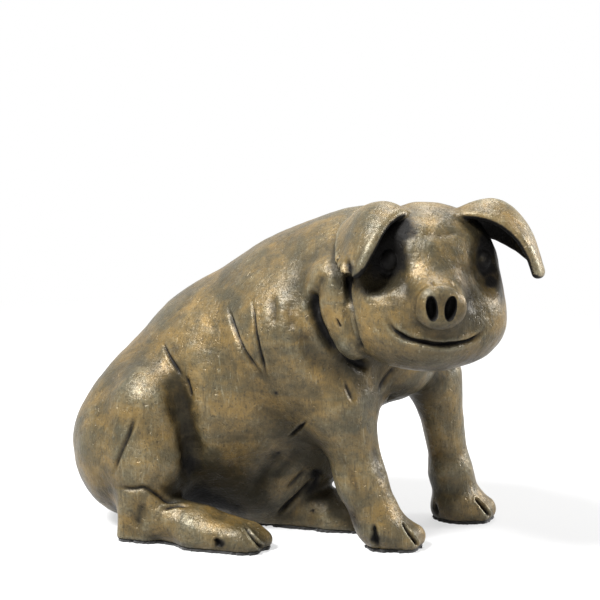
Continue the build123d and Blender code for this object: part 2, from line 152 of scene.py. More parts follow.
def ear(q, name):
    """The distance to a thick leaf, for points in the head's own axes."""
    p, square, half = EARS[name]
    out = np.full(len(q), FAR_OFF, np.float32)
    near = close_to(q, p, EAR_REACH)
    grid = np.arange(LEAF * LEAF).reshape(LEAF, LEAF)
    first = grid[COARSE // 2::COARSE, COARSE // 2::COARSE].ravel()
    for start in range(0, len(near), BATCH):
        i = near[start:start + BATCH]
        rough = first[((p[first] ** 2).sum(-1) - 2 * q[i] @ p[first].T).argmin(1)]
        row, column = rough // LEAF, rough % LEAF
        j, best = rough, np.full(len(i), 1e9, np.float32)
        for reach in (2, 1):
            for a in range(-2 * reach, 2 * reach + 1, reach):
                for b in range(-2 * reach, 2 * reach + 1, reach):
                    k = np.clip(row + a, 0, LEAF - 1) * LEAF + np.clip(column + b, 0, LEAF - 1)
                    d2 = ((q[i] - p[k]) ** 2).sum(-1)
                    j, best = np.where(d2 < best, k, j), np.minimum(best, d2)
            row, column = j // LEAF, j % LEAF
        off = q[i] - p[j]
        h = (off * square[j]).sum(-1)
        aside = np.sqrt(np.maximum((off ** 2).sum(-1) - h * h, 0))
        out[i] = np.sqrt(h * h + np.maximum(aside - SAMPLE_GAP, 0) ** 2) - half[j]
    return out


def torso(P):
    d = ball(P, (3, -17.5, 47.4), (33, 50, 35.6), turned(pitch=-38))
    d = join(d, ball(P, (0, 8.0, 25), (31, 26.0, 25.5)), 9)
    d = join(d, ball(P, (5, -47, 70.5), (30, 28, 31), turned(pitch=-30)), 13)
    d = join(d, ball(P, (0, -64, 84), (25, 26, 24)), 9)
    d = join(d, ball(P, (10, -67, 57.8), (15, 15, 14)), 6)
    d = join(d, limb(P, (-21, -63.5, 87), (-23, -71, 71), 9.2, 7.4), 4.5)
    d = join(d, limb(P, (12, -80, 84.5), (0, -91, 84.5), 13.5, 12.5), 6)
    d = join(d, limb(P, (3, -25, 17), (6, -38, 27), 17, 14), 10)
    return join(d, limb(P, (8, -24, 14), (10, -36, 22), 15, 12), 8)


def haunch_right(P):
    d = ball(P, (-18.5, 8, 28), (20.5, 23.5, 25), turned(roll=12))
    d = join(d, limb(P, (-27.5, 1, 43), (-29, 0.5, 25), 11.8, 11.4), 6)
    return join(d, limb(P, (-29.5, 0, 25), (-32, 1, 13), 11.5, 8.5), 4)


def haunch_left(P):
    d = ball(P, (19, 6, 27.5), (20.5, 24.5, 24.5), turned(roll=-15))
    return join(d, limb(P, (23, -26, 34), (20, -20, 13), 14, 10), 9)


def hind_foot_right(P):
    d = block(P, (-33.8, 0.8, 8), (6.4, 6.2, 9.5), turned(yaw=8, pitch=4), 2.6)
    d = join(d, limb(P, (-32.5, -4, 8), (-31.5, -20, 5.5), 7.6, 7.4), 4)
    d = join(d, limb(P, (-36.5, -4, 13), (-34.5, -14, 7), 2.6, 3.4), 3)
    for aside, reach in ((-3.2, -33.8), (2.6, -34.6)):
        tip = (-30 + aside, reach, 3.6)
        d = join(d, limb(P, (-31.5 + aside, -20, 5.0), tip, 6.6, 4.8), 2.5)
        d = join(d, ball(P, (-29.5 + aside, reach - 2, 3), (4.6, 6.5, 3.8)), 2.5)
    return d


def hind_foot_left(P):
    d = limb(P, (2, -22, 6), (5, -48, 5), 9, 8)
    for aside in (-2.8, 2.8):
        tip = (8.5 + aside, -62.5, 2.6)
        d = join(d, limb(P, (5.5 + aside, -50, 4.5), tip, 6.2, 4.6), 1.5)
    return cut(d, ball(P, (8.5, -66, 5), (0.8, 9, 6), turned(yaw=12)), 0.6)


def foreleg_right(P):
    d = limb(P, (-13, -46, 68), (-12.5, -57.5, 46), 18, 10.8)
    d = join(d, limb(P, (-12.5, -60.5, 46), (-11, -67, 22), 10.0, 7.0), 8)
    d = join(d, limb(P, (-11, -67, 22), (-9.5, -73, 8), 7.0, 8.0), 5)
    for aside in (-2.8, 2.8):
        tip = (-6.2 + aside * 0.9, -81.8, 3.6)
        d = join(d, limb(P, (-8.6 + aside, -74.5, 6.5), tip, 5.6, 4.2), 2.5)
    return d


def foreleg_left(P):
    d = limb(P, (25, -63.5, 69.5), (30.3, -74.5, 48), 14.8, 8.0)
    d = join(d, limb(P, (30.5, -75, 48), (31.5, -80.5, 18), 7.4, 6.4), 8)
    d = join(d, limb(P, (31.5, -80.5, 16), (32, -83, 7), 6.6, 7.8), 5)
    d = join(d, limb(P, (31.5, -80.5, 4.5), (32, -84, 4), 6.5, 7.2), 3)
    for aside in (-2.6, 2.6):
        tip = (34 + aside * 0.9, -90.8, 3.4)
        d = join(d, limb(P, (32.2 + aside, -84.5, 6), tip, 5.4, 4.1), 2.5)
    return d


def nostril(q, side):
    return ball(q, (side * 2.75, -30.4, 0.5), (1.45, 4, 3.5), turned(roll=side * 8))


def head(q):
    """The head without its ears, for points in its own axes."""
    d = ball(q, (0, 3, 7), (22, 20, 20.6))
    for side in (-1, 1):
        d = join(d, ball(q, (side * 12.2, -2, -6 - 0.6 * side), (11.8, 15.5, 14 - 0.6 * side)), 7)
    d = join(d, ball(q, (-0.8, -9, -10.8), (15.5, 14.5, 11.5)), 7)
    d = join(d, limb(q * np.float32((0.87, 1, 1)), (0, -12, 0.5), (0, -25, 0.5), 10, 6.4), 6)
    d = join(d, ball(q, (0, -27.8, 0.5), (7.9, 3.2, 6.5)), 1.5)
    d = cut(d, ball(q, (0, -32.4, 0.5), (6.6, 2.6, 5.2)), 1.0)
    for side in (-1, 1):
        socket = (18.8 * side + 0.8, -13.5, 12.5), (8.0 - 0.5 * side, 7.5, 10.0)
        eye = (13.8 * side + 1.2, -7.2 + 0.8 * side, 11.0), (3.0, 3.0, 3.2)
        d = cut(d, nostril(q, side), 0.5)
        d = cut(d, ball(q, *socket, turned(yaw=side * 20)), 3)
        d = join(d, ball(q, *eye), 0.4)
    return d


CURL_AT = np.float32((7, 34.8, 20))
CURL_RADIUS = 5
CURL_END, CURL_TURN = radians(285), radians(322)


def tail(P):
    """A curl that lies against the rump."""
    q = P - CURL_AT
    angle = np.arctan2(q[:, 2], -q[:, 0]) % (2 * pi)
    angle = np.where(angle > CURL_END, np.where(angle > CURL_TURN, 0, CURL_END), angle)
    at = CURL_RADIUS * np.stack([-np.cos(angle), np.zeros_like(angle), np.sin(angle)], -1)
    return np.linalg.norm(q - at, axis=-1) - (2.5 - 0.22 * angle)


NAMES = (
    "torso", "head", "ear_right", "ear_left", "foreleg_right", "foreleg_left",
    "haunch_right", "haunch_left", "hind_foot_right", "hind_foot_left", "tail",
)
EARS_AT = [NAMES.index("ear_right"), NAMES.index("ear_left")]
SOLE = 1.0


def parts(P):
    """The distance to each casting by itself."""
    q = (P - HEAD_AT) @ HEAD_TURN
    return [
        torso(P), head(q), ear(q, "ear_right"), ear(q, "ear_left"),
        foreleg_right(P), foreleg_left(P), haunch_right(P), haunch_left(P),
        hind_foot_right(P), hind_foot_left(P), tail(P),
    ]


def whole(P):
    """The distance to the joined castings."""
    d = dict(zip(NAMES, parts(P)))
    haunch_blend = 2.5 + 9 * ramp(P[:, 1], -6, 22) + 5 * ramp(P[:, 2], 42, 56)
    blends = (
        ("haunch_right", haunch_blend), ("haunch_left", haunch_blend),
        ("hind_foot_right", 3), ("hind_foot_left", 3),
        ("foreleg_right", 10), ("foreleg_left", 10),
        ("head", 1.5), ("ear_right", 1.2), ("ear_left", 1.2), ("tail", 0.8),
    )
    f = d["torso"]
    for name, blend in blends:
        f = join(f, d[name], blend)
    return -join(-f, P[:, 2] - SOLE, 0.5)


# Mesh: surface nets over the form

def measured(field, P, step=60000):
    """The field's values at points, taken in batches."""
    return np.concatenate([field(np.float32(P[i:i + step])) for i in range(0, len(P), step)])


BLOCK = 4
BLOCK_REACH = 5.5


def lattice(counts):
    """The whole-number places in a box of these counts."""
    axes = [np.arange(n) for n in counts]
    return np.stack(np.meshgrid(*axes, indexing="ij"), -1).reshape(-1, 3)


def nets(field, low, high, h):
    """The zero surface of a field, on a grid that is filled only near that surface."""
    low = np.float32(low)
    blocks = np.ceil((np.float32(high) - low) / h / BLOCK).astype(int)
    index = lattice(blocks)
    rough = measured(field, low + (index * BLOCK + (BLOCK - 1) / 2) * h)
    vol = rough.reshape(blocks)
    for axis in range(3):
        vol = np.repeat(vol, BLOCK, axis)
    live = index[np.abs(rough) < BLOCK_REACH * h]
    nodes = (live[:, None] * BLOCK + lattice([BLOCK] * 3)).reshape(-1, 3)
    vol[tuple(nodes.T)] = measured(field, low + nodes * h)
    inside = vol < 0
    shape = np.array(vol.shape) - 1
    total = np.zeros(shape, np.int8)
    corners = [(i, j, k) for i in (0, 1) for j in (0, 1) for k in (0, 1)]
    for i, j, k in corners:
        total += inside[i:i + shape[0], j:j + shape[1], k:k + shape[2]]
    cells = np.argwhere((total > 0) & (total < 8))
    points = np.zeros((len(cells), 3))
    hits = np.zeros(len(cells))
    for a in corners:
        for axis in range(3):
            if a[axis]:
                continue
            b = list(a)
            b[axis] = 1
            fa, fb = vol[tuple((cells + a).T)], vol[tuple((cells + b).T)]
            cross = (fa < 0) != (fb < 0)
            t = np.where(cross, fa / np.where(cross, fa - fb, 1), 0)
            at = np.array(a) + t[:, None] * (np.array(b) - a)
            points += np.where(cross[:, None], at, 0)
            hits += cross
    points = low + (cells + points / hits[:, None]) * h
    number = np.full(shape, -1, np.int32)
    number[tuple(cells.T)] = np.arange(len(cells))
    quads = []
    for axis in range(3):
        u, v = (axis + 1) % 3, (axis + 2) % 3
        here = [slice(None)] * 3
        there = [slice(None)] * 3
        here[axis], there[axis] = slice(None, -1), slice(1, None)
        change = inside[tuple(here)] != inside[tuple(there)]
        at = np.argwhere(change)
        out = inside[tuple(at.T)]
        ring = []
        for du, dv in ((-1, -1), (0, -1), (0, 0), (-1, 0)):
            c = at.copy()
            c[:, u] += du
            c[:, v] += dv
            ring.append(number[tuple(c.T)])
        ring = np.stack(ring, 1)
        quads.append(np.where(out[:, None], ring, ring[:, ::-1]))
    return points, np.concatenate(quads)


CORNERS = np.float32([(1, 1, 1), (1, -1, -1), (-1, 1, -1), (-1, -1, 1)])


def slope(field, P, e=0.15):
    """The value and the slope of a field at points."""
    near = [measured(field, P + c * e) for c in CORNERS]
    grad = sum(c * f[:, None] for c, f in zip(CORNERS, near)) / (4 * e)
    return sum(near) / 4, grad


def settled(field, P, rounds):
    """Points moved onto the zero surface, and the outward way there."""
    for _ in range(rounds):
        f, g = slope(field, P)
        g2 = np.maximum((g ** 2).sum(-1), 0.05)
        P = P - g * np.clip(f / g2, -1, 1)[:, None]
    return P, g / np.sqrt(np.maximum((g ** 2).sum(-1), 1e-9))[:, None]


def around(quads, count):
    """A function that averages values over the neighbours of each point."""
    a = quads.ravel()
    b = np.roll(quads, -1, 1).ravel()
    hits = np.bincount(a, minlength=count) + np.bincount(b, minlength=count)

    def mean(values):
        return np.stack(
            [
                np.bincount(a, values[b, i], count) + np.bincount(b, values[a, i], count)
                for i in range(values.shape[1])
            ], 1,
        ) / np.maximum(hits, 1)[:, None]

    return mean


def refined(points, quads, chosen):
    """Splits the chosen quads in four, and fans the neighbours that get a new corner."""
    count = len(points)
    edges = np.sort(np.stack([quads, np.roll(quads, -1, 1)], -1), -1).astype(np.int64)
    keys = edges[..., 0] * count + edges[..., 1]
    split = np.unique(keys[chosen])
    place = np.minimum(np.searchsorted(split, keys), len(split) - 1)
    middle = np.where(split[place] == keys, place + count, -1)
    middles = (points[split // count] + points[split % count]) / 2
    q, m = quads[chosen], middle[chosen]
    own = count + len(split) + np.arange(len(q))
    fine = [np.stack([q[:, i], m[:, i], own, m[:, i - 1]], 1) for i in range(4)]
    odd = ~chosen & (middle >= 0).any(1)
    tris = []
    first = count + len(split) + len(q)
    for k, (ring, mids) in enumerate(zip(quads[odd], middle[odd])):
        loop = [p for i in range(4) for p in (ring[i], mids[i]) if p >= 0]
        tris += [(loop[i - 1], loop[i], first + k) for i in range(len(loop))]
    points = np.concatenate([points, middles, points[q].mean(1), points[quads[odd]].mean(1)])
    quads = np.concatenate([quads[~chosen & ~odd], *fine])
    return points, quads, np.array(tris, int).reshape(-1, 3)


# Camera of the photograph, 600 pixels wide

AZIMUTH, HEIGHT, FOCAL, REACH = radians(-64), radians(10), 2000.0, 740.0
BACK = np.array((sin(AZIMUTH) * cos(HEIGHT), -cos(AZIMUTH) * cos(HEIGHT), sin(HEIGHT)))
RIGHT = np.array((cos(AZIMUTH), sin(AZIMUTH), 0.0))
UP = np.cross(BACK, RIGHT)
TARGET = np.array((82.0, 0.0, 60.0))
EYE = TARGET + BACK * REACH
PICTURE = 600
CLEAR = 160.0
MARCH = 110


def seen(pixels):
    """The points of the form that show at these pixels."""
    px = np.array(pixels, float) - PICTURE / 2
    way = -BACK + RIGHT * px[:, :1] / FOCAL - UP * px[:, 1:] / FOCAL
    way /= np.linalg.norm(way, axis=1, keepdims=True)
    t = np.full(len(px), REACH - CLEAR)
    for _ in range(MARCH):
        t += np.clip(whole(np.float32(EYE + way * t[:, None])) * 0.8, -2, 12)
    at = EYE + way * t[:, None]
    return at, whole(np.float32(at)) < 1


def smooth_line(points, gap):
    """A curve through points, as points about a gap apart."""
    p = np.array(points, float)
    p = np.concatenate([2 * p[:1] - p[1:2], p, 2 * p[-1:] - p[-2:-1]])
    out = []
    for a, b, c, d in zip(p, p[1:], p[2:], p[3:]):
        count = max(2, int(np.linalg.norm(c - b) / gap))
        t = np.linspace(0, 1, count, endpoint=False)[:, None]
        bend = 2 * a - 5 * b + 4 * c - d
        twist = 3 * b - a - 3 * c + d
        out.append(0.5 * (2 * b + (c - a) * t + bend * t ** 2 + twist * t ** 3))
    return np.concatenate(out + [p[-2:-1]])


# Creases by pixel: line, half-width and depth in millimetres, darkness of their painted shade, and
# whether it is mirrored
CREASES = [
    ([(388, 321), (394, 330), (404, 337), (416, 341), (440, 345), (465, 342), (476, 337),
      (484, 330)], 0.65, 1.7, 1.0, False),
    ([(312, 298), (318, 322), (331, 345), (347, 359), (364, 366)], 1.5, 2.6, 1.0, False),
    ([(347, 264), (350, 285), (352, 305), (355, 325), (362, 346)], 1.1, 2.2, 0.9, False),
    ([(324, 272), (318, 286), (315, 302)], 1.8, 1.0, 0.1, False),
    ([(336, 318), (341, 328)], 0.5, 0.7, 0.7, False),
    ([(228, 306), (231, 318), (238, 338), (246, 355), (258, 371), (262, 377)],
     0.8, 1.1, 0.30, True),
    ([(252, 300), (254, 315), (256, 335), (261, 358), (267, 381)], 0.55, 0.8, 0.45, True),
    ([(163, 343), (169, 356), (175, 366), (181, 376)], 0.55, 0.8, 0.4, True),
    ([(172, 364), (179, 388), (185, 414), (189, 440), (189, 466), (194, 492)],
     3.4, 1.9, 0.10, True),
    ([(135, 416), (128, 436), (119, 456), (113, 474)], 0.8, 1.0, 0.25, True),
    ([(117, 487), (131, 489), (144, 488), (156, 494), (168, 501), (184, 502)],
     0.8, 0.9, 0.22, True),
    ([(162, 510), (176, 506), (188, 507)], 0.6, 0.6, 0.5, True),
    ([(141, 502), (139, 514), (134, 528)], 2.4, 1.0, 0.05, False),
    ([(247, 529), (254, 538), (266, 552)], 0.55, 2.6, 1.0, True),
    ([(215, 538), (221, 551)], 0.9, 1.8, 0.9, True),
    ([(404, 525), (411, 536), (422, 550)], 0.55, 2.6, 1.0, False),
    ([(374, 524), (375, 536), (378, 548)], 0.8, 1.7, 0.9, False),
    ([(477, 500), (484, 508), (493, 520)], 0.55, 2.4, 1.0, False),
    ([(434, 503), (438, 515)], 0.8, 0.8, 0.6, False),
    ([(306, 422), (298, 429), (289, 438)], 0.5, 1.0, 0.55, False),
    ([(277, 516), (285, 507), (296, 496), (307, 485), (314, 478)], 0.7, 1.2, 0.6, False),
    ([(314, 470), (318, 478), (314, 485)], 0.9, 1.4, 1.0, False),
    ([(284, 448), (268, 470), (250, 494)], 2.6, 1.1, 0.12, True),
    ([(302, 448), (286, 464), (270, 482)], 2.0, 0.8, 0.08, True),
    ([(394, 394), (388, 404), (379, 416)], 1.4, 0.9, 0.15, False),
    ([(345, 382), (350, 394), (354, 402)], 0.8, 0.6, 0.3, False),
    ([(398, 268), (404, 285), (413, 302), (420, 322)], 3.2, 0.7, 0.0, False),
    ([(466, 262), (469, 280), (471, 296), (468, 315)], 3.2, 0.7, 0.0, False),
    ([(422, 232), (440, 235), (460, 230)], 1.6, 0.5, 0.0, False),
    ([(430, 281), (434, 286)], 0.6, 0.4, 0.2, False),
    ([(450, 280), (453, 286)], 0.6, 0.4, 0.2, False),
    ([(381, 271), (387, 275), (393, 272)], 0.8, 0.5, 0.3, False),
    ([(300, 330), (309, 352), (322, 372)], 2.6, 0.8, 0.05, False),
    ([(340, 455), (352, 476), (362, 500)], 1.6, 0.5, 0.1, False),
    ([(372, 440), (378, 462), (384, 486)], 1.8, 0.5, 0.1, False),
    ([(397, 365), (386, 378), (378, 394)], 1.0, 0.7, 0.35, False),
    ([(305, 470), (296, 480), (287, 489)], 0.9, 0.6, 0.25, False),
    ([(292, 300), (289, 316), (293, 330)], 1.6, 0.6, 0.05, False),
    ([(270, 296), (274, 312), (272, 326)], 1.4, 0.5, 0.05, True),
    ([(184, 375), (188, 386), (190, 398)], 0.8, 0.8, 0.45, True),
]

# Patches of painted shade by pixel: the place, its radius in millimetres and its strength
SHADE_PATCHES = [
    ((384, 254), 7.2, 1.3), ((398, 232), 5.5, 1.2), ((374, 270), 3.6, 0.7),
    ((402, 260), 3.8, 0.8), ((484, 228), 5.0, 1.2), ((487, 248), 5.0, 1.2),
    ((489, 266), 4.2, 1.1), ((491, 281), 3.0, 1.0), ((200, 496), 6.5, 1.0),
    ((190, 466), 4.5, 0.75), ((188, 430), 3.4, 0.40), ((217, 502), 6.0, 0.95),
    ((233, 508), 5.0, 0.7), ((285, 415), 9.0, 0.14), ((302, 430), 5.0, 0.25),
    ((220, 544), 1.8, 1.0), ((376, 540), 2.0, 1.0), ((316, 474), 2.6, 0.9),
    ((313, 486), 3.0, 0.8), ((352, 515), 5.0, 0.7), ((434, 512), 3.5, 0.6),
    ((300, 512), 6.0, 0.30), ((322, 500), 6.0, 0.35), ((340, 395), 5.0, 0.10),
    ((350, 270), 3.0, 0.8), ((276, 393), 0.9, 0.9), ((279, 455), 0.7, 0.9),
    ((313, 511), 0.8, 0.9), ((410, 385), 6.0, 0.3), ((175, 349), 2.5, 0.5),
]


PRIMES = np.array((73856093, 19349663, 83492791))
SEED_PRIME, MIX_PRIME = 2654435761, 1274126177
LEVELS = 8191


def noise(P, size, seed):
    """Smooth values from -1 to 1 that change over a size in millimetres."""
    q = P / size + seed * 7.31
    base = np.floor(q).astype(np.int64)
    f = q - base
    f = f * f * (3 - 2 * f)
    total = np.zeros(len(P))
    for corner in range(8):
        bits = np.array([corner & 1, corner >> 1 & 1, corner >> 2 & 1])
        h = np.bitwise_xor.reduce((base + bits) * PRIMES, axis=1) ^ (seed * SEED_PRIME)
        h = (h ^ (h >> 13)) * MIX_PRIME & 0x7fffffff
        value = (h >> 8) % LEVELS / (LEVELS // 2) - 1
        total += value * np.where(bits, f, 1 - f).prod(1)
    return total


def to_line(P, line):
    """The distance from points to a line, and how far along it that is."""
    best = np.full(len(P), 1e9)
    along = np.zeros(len(P))
    for i, (a, b) in enumerate(zip(line, line[1:])):
        way = b - a
        t = np.clip(((P - a) @ way) / max(way @ way, 1e-9), 0, 1)
        d = np.linalg.norm(P - a - t[:, None] * way, axis=1)
        near = d < best
        best = np.where(near, d, best)
        along = np.where(near, (i + t) / (len(line) - 1), along)
    return best, along


# Where the creases run on the form
PIXEL_GAP = 3.0
MIRROR, MIRROR_SHIFT = (-1, 1, 1), (6, 0, 0)
drawn = [smooth_line(pixels, PIXEL_GAP) for pixels, *rest in CREASES]
found, hit = seen(np.concatenate(drawn))
ends = np.cumsum([len(line) for line in drawn])[:-1]
lines = []
for line, on, crease in zip(np.split(found, ends), np.split(hit, ends), CREASES):
    _, half, depth, dark, mirrored = crease
    line = line[on]
    if len(line) < 2:
        continue
    lines.append((line, half, depth, dark))
    if mirrored:
        other = line * MIRROR + MIRROR_SHIFT
        lines.append((settled(whole, other, 4)[0], half, depth, dark))

# The joined surface, finer over the face, the hooves and the creases
STEP = 0.75
FORM_LOW, FORM_HIGH = (-48, -130, -1.5), (46, 48, 116)
FACE_REACH, FACE_BACK = 34, -4
HOOVES = ((-7, -80, 13), (32, -88, 13), (-27, -33, 12))
HOOF_TOP = 15
CREASE_HALF, CREASE_EDGE = 1.2, 0.9
points, quads = nets(whole, FORM_LOW, FORM_HIGH, STEP)
points, normals = settled(whole, points, 3)
for _ in range(3):
    shift = around(quads, len(points))(points) - points
    shift -= normals * (shift * normals).sum(-1)[:, None]
    points, normals = settled(whole, points + 0.6 * shift, 1)
middle = points[quads].mean(1)
local = (middle - HEAD_AT) @ HEAD_TURN
chosen = (np.linalg.norm(local * (1, 1, 0.9), axis=1) < FACE_REACH) & (local[:, 1] < FACE_BACK)
for x, y, reach in HOOVES:
    beside = np.linalg.norm(middle[:, :2] - (x, y), axis=1) < reach
    chosen |= beside & (middle[:, 2] < HOOF_TOP)
for line, half, depth, dark in lines:
    near = close_to(middle, line, 4)
    chosen[near] |= to_line(middle[near], line)[0] < min(half, CREASE_HALF) + CREASE_EDGE
points, quads, tris = refined(points, quads, chosen)
points, normals = settled(whole, points, 2)


def owner(P):
    """The number of the casting that each point belongs to."""
    return np.argmin(measured(lambda Q: np.stack(parts(Q), 1), P), 1)


quad_owner = owner(points[quads].mean(1))
tri_owner = owner(points[tris].mean(1))
point_owner = owner(points)
on_ear = np.isin(point_owner, EARS_AT)

# Relief and painted shade of the creases, where a deep one starts more bluntly than a shallow one
DEEP = 2
sunk = np.zeros(len(points))
recess_shade = np.zeros(len(points))
for line, half, depth, dark in lines:
    near = close_to(points, line, 4 * half)
    at = points[near]
    d, t = to_line(at, line)
    wave = 1 + 0.25 * noise(at, 3.0, 5)
    d = np.abs(d + half * (0.16 * noise(at, 2.2, 6) + 0.18 * noise(at, 5.5, 7)))
    rise, start = (10, 0.6) if depth > DEEP else (4, 0.15)
    fade = np.minimum(1, rise * np.minimum(t, 1 - t) + start)
    lip = 0.14 * np.exp(-((d - 2.2 * half) / half) ** 2)
    sunk[near] += depth * fade * wave * (np.exp(-(d / half) ** 2) - lip)
    crease_shade = 0.8 * np.exp(-(d / (0.55 * half + 0.12)) ** 2)
    crease_shade += 0.32 * np.exp(-(d / (2.3 * half)) ** 2)
    recess_shade[near] = np.maximum(recess_shade[near], (0.22 + 0.78 * dark) * fade * crease_shade)

# Patches of painted shade, which stay off the ears unless they lie on one
centres = seen([pixel for pixel, radius, strength in SHADE_PATCHES])[0]
for centre, whose, (_, radius, strength) in zip(centres, owner(centres), SHADE_PATCHES):
    d = np.linalg.norm(points - centre, axis=1) + radius * 0.2 * noise(points, 2.0, 9)
    reach = np.where(on_ear == (whose in EARS_AT), strength, 0)
    recess_shade = np.maximum(recess_shade, reach * np.exp(-(np.maximum(d, 0) / radius) ** 2.4))

# The unevenness of a hand-worked surface, as heights, sizes and seeds
UNEVEN = ((0.34, 13, 1), (0.19, 5.5, 2), (0.08, 2.2, 3))
uneven = sum(height * noise(points, size, seed) for height, size, seed in UNEVEN)
sunk += uneven * ramp(points[:, 2], 2, 6)
points = points - normals * sunk[:, None]

# Hollows and crests, at a fine and a broad scale; the hollows get painted shade and the crests
# wear with a painted highlight
FINE_ROUNDS, BROAD_ROUNDS = 8, 60
mean = around(np.concatenate([quads, tris[:, [0, 1, 2, 2]]]), len(points))
flat = points
for turn in range(BROAD_ROUNDS):
    flat = mean(flat)
    if turn + 1 == FINE_ROUNDS:
        fine = ((flat - points) * normals).sum(1)
broad = ((flat - points) * normals).sum(1)
hollow = np.clip(fine * 1.1, 0, 1) + np.clip(broad * 0.22, 0, 0.7)
crest = np.clip(-fine * 2.2, 0, 1) + np.clip(-broad * 0.25 - 0.05, 0, 1)

# Painted shade inside the ears and the nostrils
EAR_SKIN = 0.9
local = np.float32((points - HEAD_AT) @ HEAD_TURN)
for side, name in (-1, "ear_right"), (1, "ear_left"):
    mine = np.where(np.abs(ear(local, name)) < EAR_SKIN)[0]
    inward = -side * (normals[mine] @ HEAD_TURN)[:, 0]
    recess_shade[mine] = np.maximum(recess_shade[mine], ramp(0.35 * inward - normals[mine, 2], 0.05, 0.5))
    recess_shade = np.maximum(recess_shade, 1 - ramp(nostril(local, side), 0.15, 0.55))

# Painted shade by how closed in each point is, from the room at some distances in millimetres,
# with their shares
ROOM = ((2.5, 0.20), (6.0, 0.30), (12.0, 0.30), (22.0, 0.20))
painted_shade = np.zeros(len(points))
for far, share in ROOM:
    painted_shade += share * np.clip(1 - measured(whole, points + normals * far) / far, 0, 1)
# More painted shade on faces that look down
low = ramp(-normals[:, 2], -0.15, 0.9)
painted_shade = np.clip(1.35 * painted_shade + 0.22 * low, 0, 1)
# Hollows add painted shade, and the crests lose their highlight where shade is painted
recess_shade = np.clip(recess_shade + hollow * 0.45, 0, 1)
crest = np.clip(crest * (1 - recess_shade) * (1 - 0.8 * painted_shade), 0, 1)


def mesh_object(name, verts, faces, values=None, shade=None):
    """An object in metres from points in millimetres, with its values kept by point."""
    mesh = bpy.data.meshes.new(name)
    mesh.from_pydata((np.asarray(verts) * MM).tolist(), [], faces)
    mesh.validate()
    mesh.polygons.foreach_set("use_smooth", [True] * len(mesh.polygons))
    for key, value in (values or {}).items():
        mesh.attributes.new(key, "FLOAT", "POINT").data.foreach_set("value", np.float32(value))
    if shade is not None:
        mesh.normals_split_custom_set_from_vertices(np.asarray(shade).tolist())
    mesh.update()
    obj = bpy.data.objects.new(name, mesh)
    bpy.context.scene.collection.objects.link(obj)
    return obj


def loops_of(faces):
    """The closed rings of edges that have a face on one side only."""
    pairs = {}
    for ring in faces:
        for a, b in zip(ring, ring[1:] + ring[:1]):
            pairs[a, b] = pairs.get((a, b), 0) + 1
    after = {}
    for (a, b), times in pairs.items():
        for _ in range(times - pairs.get((b, a), 0)):
            after.setdefault(b, []).append(a)
    rings = []
    while after:
        first = next(iter(after))
        ring, at = [first], first
        while True:
            ways = after[at]
            following = ways.pop()
            if not ways:
                del after[at]
            if following == first:
                break
            ring.append(following)
            at = following
        rings.append(ring)
    return rings


# Normals of the worked surface, shared by the castings so that no seam shows
a, b, c, d = (points[corner] for corner in quads.T)
quad_normal = np.cross(c - a, d - b)
a, b, c = (points[corner] for corner in tris.T)
tri_normal = np.cross(b - a, c - a)
shade = np.zeros_like(points)
for faces, face_normal in (quads, quad_normal), (tris, tri_normal):
    for corner in faces.T:
        for axis in range(3):
            shade[:, axis] += np.bincount(corner, face_normal[:, axis], len(points))
shade /= np.linalg.norm(shade, axis=1, keepdims=True) + 1e-12

# Each casting by itself, closed where it meets the next
castings = {}
for index, name in enumerate(NAMES):
    own_quads, own_tris = quads[quad_owner == index], tris[tri_owner == index]
    used = np.unique(np.concatenate([own_quads.ravel(), own_tris.ravel()]))
    new = np.full(len(points), -1)
    new[used] = np.arange(len(used))
    faces = new[own_quads].tolist() + new[own_tris].tolist()
    verts = points[used]
    values = {"recess_shade": recess_shade[used], "crest": crest[used], "painted_shade": painted_shade[used]}
    normal = shade[used]
    for ring in loops_of(faces):
        hub = len(verts)
        verts = np.concatenate([verts, verts[ring].mean(0)[None]])
        normal = np.concatenate([normal, -normal[ring].mean(0)[None]])
        values = {key: np.append(value, 0.0) for key, value in values.items()}
        faces += [[a, b, hub] for a, b in zip(ring, ring[1:] + ring[:1])]
    normal = normal / (np.linalg.norm(normal, axis=1, keepdims=True) + 1e-12)
    castings[name] = mesh_object("pig_" + name, verts, faces, values, normal)


# Materials

